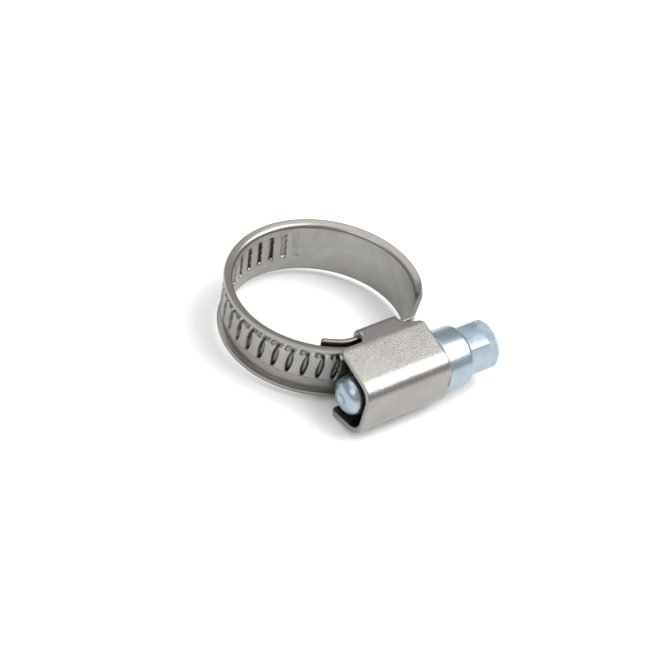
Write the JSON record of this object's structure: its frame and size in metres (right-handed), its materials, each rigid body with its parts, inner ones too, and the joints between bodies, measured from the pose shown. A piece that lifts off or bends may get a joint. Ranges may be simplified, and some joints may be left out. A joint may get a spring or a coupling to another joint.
{
  "type": "hose clamp",
  "caption": "Worm-drive hose clamp: embossed steel band, folded housing and hexagon worm screw that draws the band tight round a hose.",
  "frame": {"origin": "on the housing's saddle, the face that presses on the hose under the screw, midway across the band's width", "axes": "+X along the worm screw towards its hexagon head, +Y from the saddle to the ring's centre, +Z along the hose"},
  "size_m": [0.0311, 0.0342, 0.011],
  "materials": {
    "band_steel": "satin rolled stainless steel",
    "housing_steel": "satin pressed stainless steel",
    "screw_zinc": "blue bright zinc plate on steel"
  },
  "bodies": {
    "housing_and_fixed_end": {"housing": "housing_steel", "band_fixed_end": "band_steel"},
    "screw": {"worm_screw": "screw_zinc"},
    "tail": {"band_tail": "band_steel"},
    "tongue": {"band_tongue": "band_steel"},
    "segment_1": {"band_segment_1": "band_steel"},
    "segment_2": {"band_segment_2": "band_steel"},
    "segment_3": {"band_segment_3": "band_steel"},
    "segment_4": {"band_segment_4": "band_steel"},
    "segment_5": {"band_segment_5": "band_steel"},
    "segment_6": {"band_segment_6": "band_steel"},
    "segment_7": {"band_segment_7": "band_steel"},
    "segment_8": {"band_segment_8": "band_steel"},
    "segment_9": {"band_segment_9": "band_steel"}
  },
  "joints": [
    {"name": "screw_spin", "type": "hinge", "parent": "housing_and_fixed_end", "child": "screw", "pos_m": [0, -0.00635, 0], "axis": [-1, 0, 0], "range_deg": [0, 540]},
    {"name": "tail_slide", "type": "slide", "parent": "housing_and_fixed_end", "child": "tail", "axis": [1, 0, 0], "range_m": [0, 0.0031]},
    {"name": "tongue_flex", "type": "hinge", "parent": "housing_and_fixed_end", "child": "tongue", "pos_m": [-0.00295, -0.00096, 0], "axis": [0, 0, 1], "range_deg": [-10.1, 0.1]},
    {"name": "band_flex_1", "type": "hinge", "parent": "housing_and_fixed_end", "child": "segment_1", "pos_m": [0.00983, 0.00058, 0], "axis": [0, 0, 1], "range_deg": [-1.93, 0.1]},
    {"name": "band_flex_2", "type": "hinge", "parent": "segment_1", "child": "segment_2", "pos_m": [0.01307, 0.00853, 0], "axis": [0, 0, 1], "range_deg": [-5.9, 0.1]},
    {"name": "band_flex_3", "type": "hinge", "parent": "segment_2", "child": "segment_3", "pos_m": [0.01054, 0.01641, 0], "axis": [0, 0, 1], "range_deg": [-0.1, 5.51]},
    {"name": "band_flex_4", "type": "hinge", "parent": "segment_3", "child": "segment_4", "pos_m": [0.00407, 0.02154, 0], "axis": [0, 0, 1], "range_deg": [-0.1, 12.26]},
    {"name": "band_flex_5", "type": "hinge", "parent": "segment_4", "child": "segment_5", "pos_m": [-0.00417, 0.02219, 0], "axis": [0, 0, 1], "range_deg": [-4.69, 0.1]},
    {"name": "band_flex_6", "type": "hinge", "parent": "segment_5", "child": "segment_6", "pos_m": [-0.01099, 0.01749, 0], "axis": [0, 0, 1], "range_deg": [-4.48, 0.1]},
    {"name": "band_flex_7", "type": "hinge", "parent": "segment_6", "child": "segment_7", "pos_m": [-0.01261, 0.00739, 0], "axis": [0, 0, 1], "range_deg": [-0.1, 1.69]},
    {"name": "band_flex_8", "type": "hinge", "parent": "segment_7", "child": "segment_8", "pos_m": [-0.01088, 0.00358, 0], "axis": [0, 0, 1], "range_deg": [-0.1, 3.29]},
    {"name": "band_flex_9", "type": "hinge", "parent": "segment_8", "child": "segment_9", "pos_m": [-0.00645, -0.0008, 0], "axis": [0, 0, 1], "range_deg": [-0.1, 9.74]}
  ],
  "couplings": [
    {"joint": "tail_slide", "follows": "screw_spin", "m_per_rad": 0.00031831},
    {"joint": "tongue_flex", "follows": "screw_spin", "ratio": -0.018519},
    {"joint": "band_flex_1", "follows": "screw_spin", "ratio": -0.0033804},
    {"joint": "band_flex_2", "follows": "screw_spin", "ratio": -0.010739},
    {"joint": "band_flex_3", "follows": "screw_spin", "ratio": 0.01001},
    {"joint": "band_flex_4", "follows": "screw_spin", "ratio": 0.022524},
    {"joint": "band_flex_5", "follows": "screw_spin", "ratio": -0.008496},
    {"joint": "band_flex_6", "follows": "screw_spin", "ratio": -0.0081108},
    {"joint": "band_flex_7", "follows": "screw_spin", "ratio": 0.002942},
    {"joint": "band_flex_8", "follows": "screw_spin", "ratio": 0.0059163},
    {"joint": "band_flex_9", "follows": "screw_spin", "ratio": 0.017843}
  ]
}
